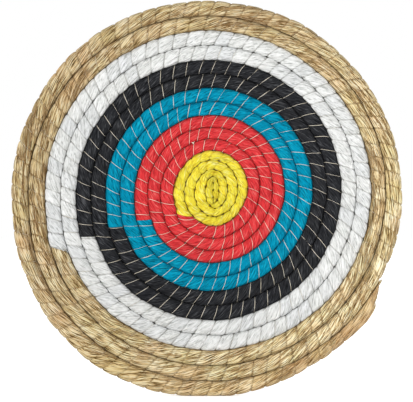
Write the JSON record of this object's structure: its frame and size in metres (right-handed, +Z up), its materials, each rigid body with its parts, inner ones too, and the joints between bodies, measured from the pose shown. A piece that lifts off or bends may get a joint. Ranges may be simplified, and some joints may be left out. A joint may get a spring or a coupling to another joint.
{
  "type": "archery target boss",
  "caption": "Round archery target boss of straw rope wound flat, with cloth-wrapped turns as coloured scoring zones and stitching thread between the turns.",
  "frame": {"origin": "under the middle of the boss at its lowest point, as it stands upright", "axes": "+Z up, the coloured face toward -Y, +X to the right as the face is seen"},
  "size_m": [0.4916, 0.0254, 0.502],
  "materials": {
    "straw": "dry twisted straw, matt",
    "yellow_cloth": "plain woven cotton, wound tight",
    "red_cloth": "plain woven cotton, wound tight",
    "blue_cloth": "plain woven cotton, wound tight",
    "black_cloth": "plain woven cotton, wound tight",
    "white_cloth": "plain woven cotton, wound tight",
    "thread": "twisted thread, pale"
  },
  "bodies": {
    "root": {"straw_rope": "straw", "yellow_wrap": "yellow_cloth", "red_wrap": "red_cloth", "blue_wrap": "blue_cloth", "black_wrap": "black_cloth", "white_wrap": "white_cloth", "inner_stitching_thread": "thread", "outer_stitching_thread": "thread"}
  },
  "joints": []
}
